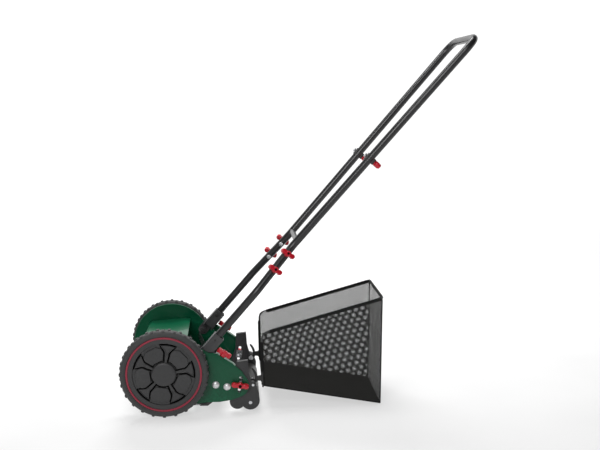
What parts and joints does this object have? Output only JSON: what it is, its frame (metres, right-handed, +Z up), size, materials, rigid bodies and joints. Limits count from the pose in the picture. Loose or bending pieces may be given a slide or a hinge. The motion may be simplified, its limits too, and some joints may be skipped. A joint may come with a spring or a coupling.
{
  "type": "push reel mower",
  "caption": "Push reel mower: gear-driven helical cutting reel between green side plates, ribbed wheels, rear roller, bolted folding handle and open-topped mesh grass bag.",
  "frame": {"origin": "middle of the footprint of the whole mower, on the ground", "axes": "+X to the rear, from the wheels towards the top of the handle; +Y to the right-hand side; +Z up"},
  "size_m": [1.0116, 0.44, 1.065],
  "materials": {
    "green_paint": "glossy",
    "black_tube": "semi-gloss",
    "black_wire": "semi-gloss",
    "grey_steel": "satin",
    "zinc_steel": "zinc plated",
    "blade_steel": "ground",
    "black_iron": "painted",
    "gear_iron": "greased",
    "tyre_rubber": "matt",
    "hub_plastic": "satin",
    "red_trim": "satin",
    "red_plastic": "satin",
    "black_plastic": "satin",
    "bag_net": "open mesh",
    "bag_sheet": "matt"
  },
  "bodies": {
    "chassis": {"side_plate_left": "green_paint", "side_plate_right": "green_paint", "reel_cover": "green_paint", "tie_rod": "black_tube", "wheel_axle_left": "zinc_steel", "wheel_axle_right": "zinc_steel", "wheel_clips": "zinc_steel", "reel_bearings": "zinc_steel", "cutter_bar_bolts": "zinc_steel", "height_bolts": "zinc_steel", "height_clamp_plates": "grey_steel", "handle_pivot_bolts": "zinc_steel"},
    "wheel_left": {"tyre_left": "tyre_rubber", "wheel_hub_left": "hub_plastic", "trim_ring_left": "red_trim", "hub_cap_left": "hub_plastic", "ring_gear_left": "gear_iron"},
    "wheel_right": {"tyre_right": "tyre_rubber", "wheel_hub_right": "hub_plastic", "trim_ring_right": "red_trim", "hub_cap_right": "hub_plastic", "ring_gear_right": "gear_iron"},
    "reel": {"reel_shaft": "zinc_steel", "reel_spiders": "black_iron", "reel_blades": "blade_steel", "pinion_left": "gear_iron", "drive_pawls": "zinc_steel"},
    "pinion_right": {"pinion_right": "gear_iron"},
    "cutter_bar": {"knife_carrier": "black_iron", "bed_knife": "blade_steel", "knife_screws": "zinc_steel"},
    "adjuster_left": {"adjuster_knob_left": "red_plastic", "adjuster_screw_left": "zinc_steel"},
    "adjuster_right": {"adjuster_knob_right": "red_plastic", "adjuster_screw_right": "zinc_steel"},
    "height_knob_left": {"height_knob_left": "red_plastic"},
    "height_knob_right": {"height_knob_right": "red_plastic"},
    "roller_carriage": {"roller_bracket_left": "black_plastic", "roller_bracket_right": "black_plastic", "roller_axle": "zinc_steel", "bag_pins": "zinc_steel"},
    "rear_roller": {"rear_roller": "black_plastic"},
    "grass_bag": {"bag_frame": "black_wire", "bag_mesh": "bag_net", "bag_floor": "bag_sheet", "bag_hooks": "black_wire"},
    "handle": {"handle_bracket_left": "grey_steel", "handle_bracket_right": "grey_steel", "lower_tube_left": "black_tube", "lower_tube_right": "black_tube", "middle_handle": "black_tube", "upper_handle": "black_tube", "joint_saddles": "black_plastic", "handle_bolts": "zinc_steel"},
    "joint_knob_left_lower": {"joint_knob_left_lower": "red_plastic"},
    "joint_knob_left_upper": {"joint_knob_left_upper": "red_plastic"},
    "top_knob_left": {"top_knob_left": "red_plastic"},
    "joint_knob_right_lower": {"joint_knob_right_lower": "red_plastic"},
    "joint_knob_right_upper": {"joint_knob_right_upper": "red_plastic"},
    "top_knob_right": {"top_knob_right": "red_plastic"}
  },
  "joints": [
    {"name": "wheel_left_spin", "type": "hinge", "parent": "chassis", "child": "wheel_left", "pos_m": [-0.38075, -0.2, 0.125], "axis": [0, 1, 0], "continuous": true},
    {"name": "wheel_right_spin", "type": "hinge", "parent": "chassis", "child": "wheel_right", "pos_m": [-0.38075, 0.2, 0.125], "axis": [0, 1, 0], "continuous": true},
    {"name": "reel_spin", "type": "hinge", "parent": "chassis", "child": "reel", "pos_m": [-0.31576, 0, 0.08758], "axis": [0, 1, 0], "continuous": true},
    {"name": "pinion_right_spin", "type": "hinge", "parent": "chassis", "child": "pinion_right", "pos_m": [-0.31576, 0.193, 0.08758], "axis": [0, 1, 0], "continuous": true},
    {"name": "cutter_bar_tilt", "type": "hinge", "parent": "chassis", "child": "cutter_bar", "pos_m": [-0.20575, 0, 0.076], "axis": [0, -1, 0], "range_deg": [0, 2.5]},
    {"name": "adjuster_left_turn", "type": "hinge", "parent": "chassis", "child": "adjuster_left", "pos_m": [-0.21895, -0.1695, 0.1622], "axis": [0.5417, 0, 0.8406], "range_deg": [-180, 180]},
    {"name": "adjuster_right_turn", "type": "hinge", "parent": "chassis", "child": "adjuster_right", "pos_m": [-0.21895, 0.1695, 0.1622], "axis": [0.5417, 0, 0.8406], "range_deg": [-180, 180]},
    {"name": "height_knob_left_turn", "type": "hinge", "parent": "chassis", "child": "height_knob_left", "pos_m": [-0.16875, -0.185, 0.082], "axis": [0, -1, 0], "range_deg": [-180, 180]},
    {"name": "height_knob_right_turn", "type": "hinge", "parent": "chassis", "child": "height_knob_right", "pos_m": [-0.16875, 0.185, 0.082], "axis": [0, 1, 0], "range_deg": [-180, 180]},
    {"name": "roller_height", "type": "slide", "parent": "chassis", "child": "roller_carriage", "axis": [0.1392, 0, 0.9903], "range_m": [-0.01, 0.014]},
    {"name": "rear_roller_spin", "type": "hinge", "parent": "roller_carriage", "child": "rear_roller", "pos_m": [-0.13975, 0, 0.027], "axis": [0, 1, 0], "continuous": true},
    {"name": "bag_lift", "type": "hinge", "parent": "roller_carriage", "child": "grass_bag", "pos_m": [-0.13225, 0, 0.078], "axis": [0, -1, 0], "range_deg": [0, 30]},
    {"name": "handle_fold", "type": "hinge", "parent": "chassis", "child": "handle", "pos_m": [-0.28155, 0, 0.16], "axis": [0, -1, 0], "range_deg": [0, 60]},
    {"name": "joint_knob_left_lower_turn", "type": "hinge", "parent": "handle", "child": "joint_knob_left_lower", "pos_m": [-0.0724, -0.13518, 0.40086], "axis": [0.2085, -0.9481, 0.2401], "range_deg": [-180, 180]},
    {"name": "joint_knob_left_upper_turn", "type": "hinge", "parent": "handle", "child": "joint_knob_left_upper", "pos_m": [-0.03568, -0.1164, 0.44315], "axis": [0.2085, -0.9481, 0.2401], "range_deg": [-180, 180]},
    {"name": "joint_knob_right_lower_turn", "type": "hinge", "parent": "handle", "child": "joint_knob_right_lower", "pos_m": [-0.0724, 0.13518, 0.40086], "axis": [0.2085, 0.9481, 0.2401], "range_deg": [-180, 180]},
    {"name": "joint_knob_right_upper_turn", "type": "hinge", "parent": "handle", "child": "joint_knob_right_upper", "pos_m": [-0.03568, 0.1164, 0.44315], "axis": [0.2085, 0.9481, 0.2401], "range_deg": [-180, 180]},
    {"name": "top_knob_left_turn", "type": "hinge", "parent": "handle", "child": "top_knob_left", "pos_m": [0.21398, -0.12536, 0.70579], "axis": [0.7551, 0, -0.6557], "range_deg": [-180, 180]},
    {"name": "top_knob_right_turn", "type": "hinge", "parent": "handle", "child": "top_knob_right", "pos_m": [0.21398, 0.12536, 0.70579], "axis": [0.7551, 0, -0.6557], "range_deg": [-180, 180]}
  ],
  "couplings": [
    {"joint": "reel_spin", "follows": "wheel_left_spin", "ratio": 6},
    {"joint": "pinion_right_spin", "follows": "wheel_right_spin", "ratio": 6}
  ]
}
